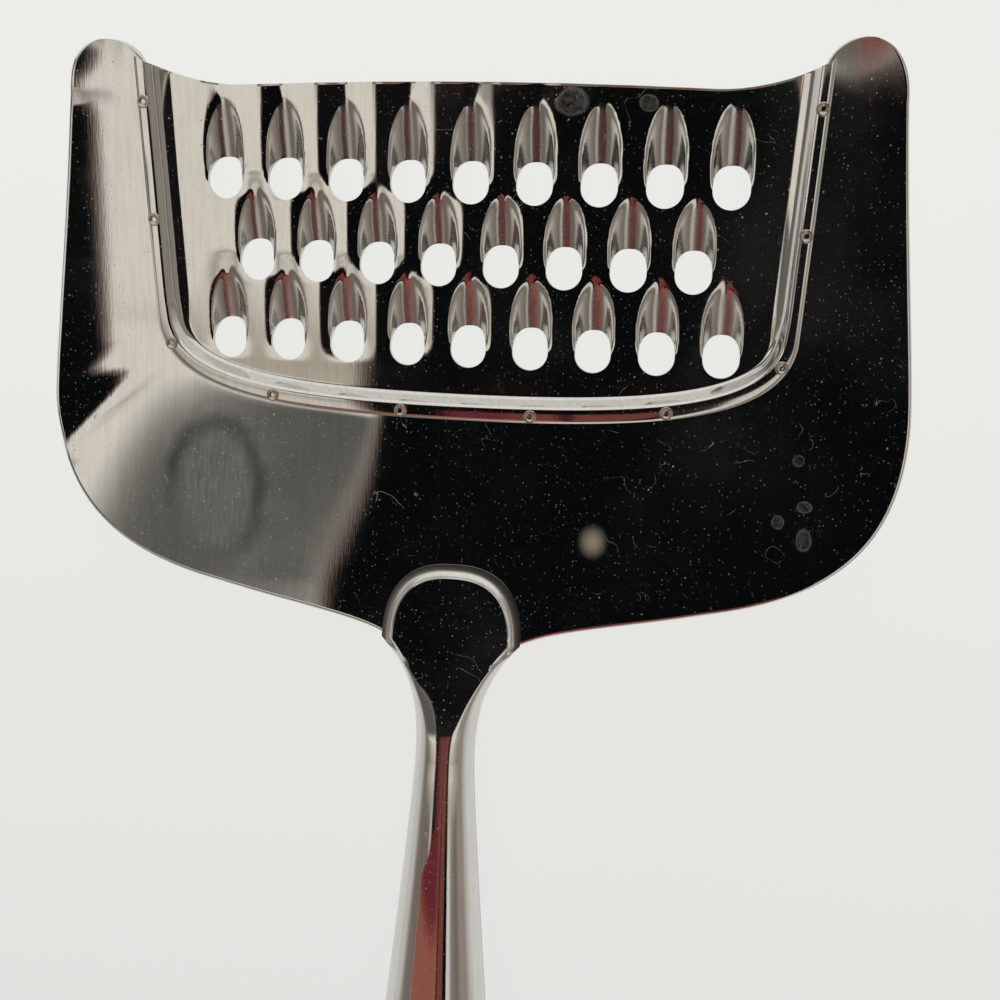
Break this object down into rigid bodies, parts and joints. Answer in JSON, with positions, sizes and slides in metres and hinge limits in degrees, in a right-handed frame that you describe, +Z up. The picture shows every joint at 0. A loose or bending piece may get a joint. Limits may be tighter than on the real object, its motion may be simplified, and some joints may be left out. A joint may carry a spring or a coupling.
{
  "type": "hand grater",
  "caption": "Flat polished steel hand grater: a dished frame with round lobes, a recessed panel of scoop teeth and a hollow tapered handle.",
  "frame": {"origin": "on the table, under the middle of the grater as it lies on its rear teeth and its handle", "axes": "+Z up from the table, +Y from the handle to the free edge of the head, +X to the right seen from above"},
  "size_m": [0.096, 0.195, 0.0124],
  "materials": {
    "frame_steel": "mirror polished stainless steel",
    "panel_steel": "polished stainless steel sheet",
    "handle_steel": "mirror polished stainless steel",
    "weld_steel": "heat-tinted spot weld"
  },
  "bodies": {
    "root": {"frame_plate": "frame_steel", "grating_panel": "panel_steel", "flange_weld_01": "weld_steel", "flange_weld_02": "weld_steel", "flange_weld_03": "weld_steel", "flange_weld_04": "weld_steel", "flange_weld_05": "weld_steel", "flange_weld_06": "weld_steel", "flange_weld_07": "weld_steel", "flange_weld_08": "weld_steel", "flange_weld_09": "weld_steel", "flange_weld_10": "weld_steel", "handle_upper_shell": "handle_steel", "handle_lower_shell": "handle_steel", "tongue_weld_left": "weld_steel", "tongue_weld_right": "weld_steel"}
  },
  "joints": []
}
